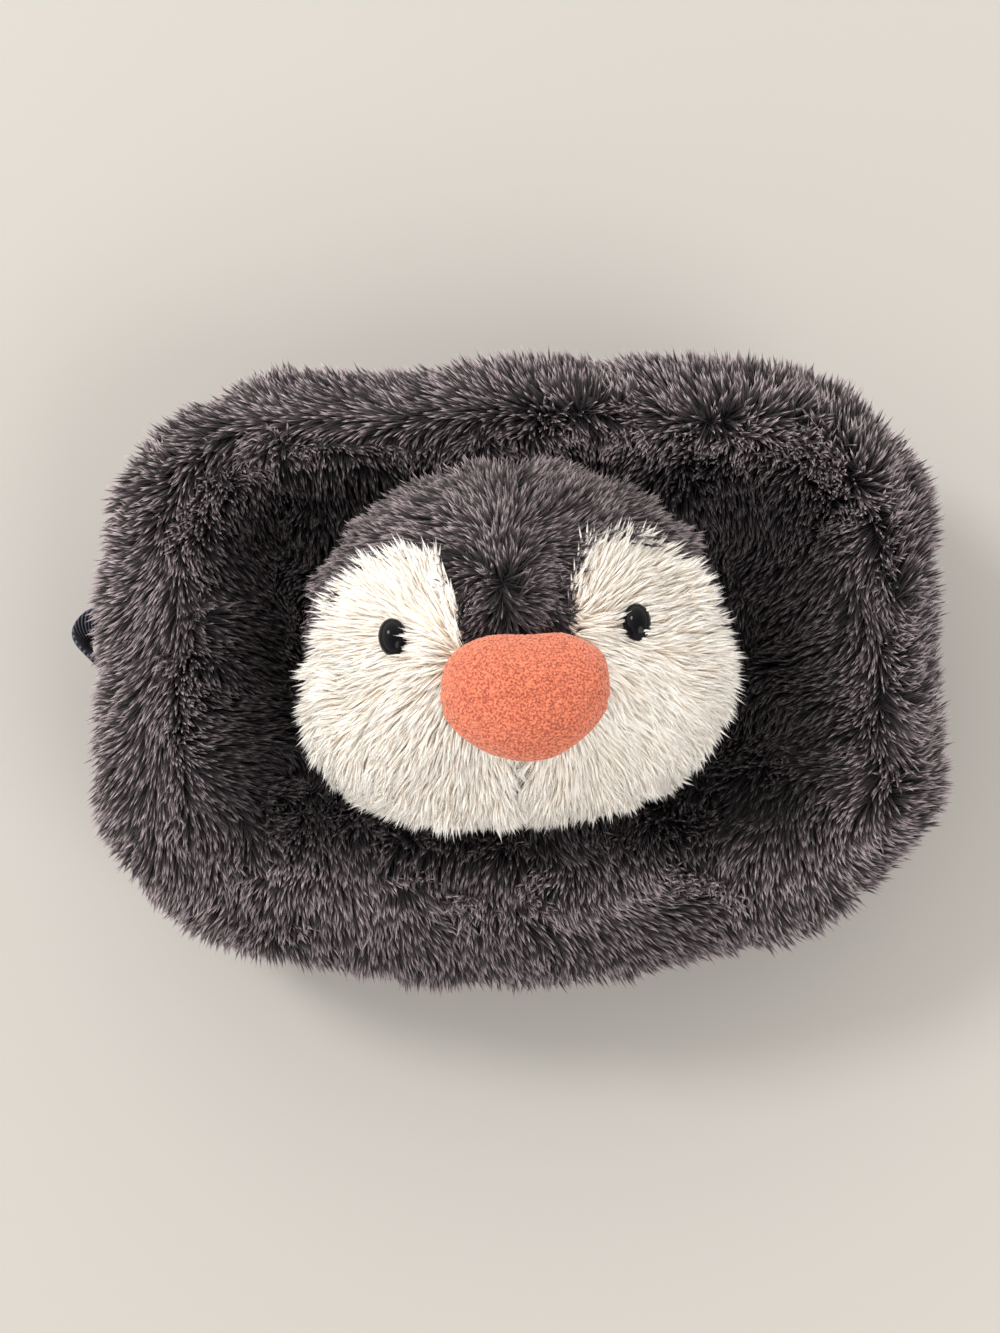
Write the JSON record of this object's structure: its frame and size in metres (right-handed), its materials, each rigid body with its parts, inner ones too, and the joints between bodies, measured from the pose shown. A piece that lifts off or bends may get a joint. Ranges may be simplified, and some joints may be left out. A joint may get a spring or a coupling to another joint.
{
  "type": "plush penguin pouch",
  "caption": "Soft boxy plush pouch with a penguin's head on its front, a zip round its sides, and a woven side loop.",
  "frame": {"origin": "middle of the flat back that the pouch rests on", "axes": "+X to the right facing the penguin, +Y towards the crown of its head, +Z out of its face"},
  "size_m": [0.2675, 0.186, 0.1543],
  "materials": {
    "fur_charcoal": "long-pile plush, charcoal with a warm cast",
    "fur_cream": "long-pile plush, cream white",
    "beak_fleece": "short curly fleece, coral orange",
    "eye_black": "polished black",
    "washer_plastic": "natural nylon",
    "stuffing": "loose polyester fibre",
    "wadding": "needled polyester wadding",
    "lining": "plain woven polyester",
    "binding_tape": "folded woven tape",
    "zip_tape": "herringbone woven tape",
    "zip_coil": "nylon coil",
    "zip_metal": "black lacquered zinc",
    "woven_tape": "twill-woven tape, black"
  },
  "bodies": {
    "tub": {"back_panel": "fur_charcoal", "back_gusset": "fur_charcoal", "tub_wadding": "wadding", "tub_lining": "lining", "tub_binding": "binding_tape", "zip_tape_lower": "zip_tape", "zip_coil_lower": "zip_coil", "zip_stops": "zip_coil"},
    "lid": {"front_panel": "fur_charcoal", "front_gusset": "fur_charcoal", "lid_wadding": "wadding", "lid_lining": "lining", "lid_binding": "binding_tape", "zip_tape_upper": "zip_tape", "zip_coil_upper": "zip_coil", "crown_panel": "fur_charcoal", "cheek_left": "fur_cream", "cheek_right": "fur_cream", "head_filling": "stuffing", "beak_upper": "beak_fleece", "beak_lower": "beak_fleece", "beak_filling": "stuffing", "eye_left": "eye_black", "eye_right": "eye_black", "eye_washer_left": "washer_plastic", "eye_washer_right": "washer_plastic"},
    "slider": {"zip_slider": "zip_metal"},
    "pull": {"zip_pull": "zip_metal"},
    "loop": {"side_loop": "woven_tape"}
  },
  "joints": [
    {"name": "lid_hinge", "type": "hinge", "parent": "tub", "child": "lid", "pos_m": [0, -0.093, 0.042], "axis": [1, 0, 0], "range_deg": [0, 70]},
    {"name": "slider_slide", "type": "slide", "parent": "tub", "child": "slider", "axis": [0, 1, 0], "range_m": [0, 0.076]},
    {"name": "pull_swing", "type": "hinge", "parent": "slider", "child": "pull", "pos_m": [-0.12783, -0.03584, 0.042], "axis": [0, 0, 1], "range_deg": [0, 160]},
    {"name": "loop_flop", "type": "hinge", "parent": "tub", "child": "loop", "pos_m": [-0.1323, 0.009, 0.0327], "axis": [0, 1, 0], "range_deg": [-40, 40], "stiffness_Nm_per_rad": 0.002}
  ]
}
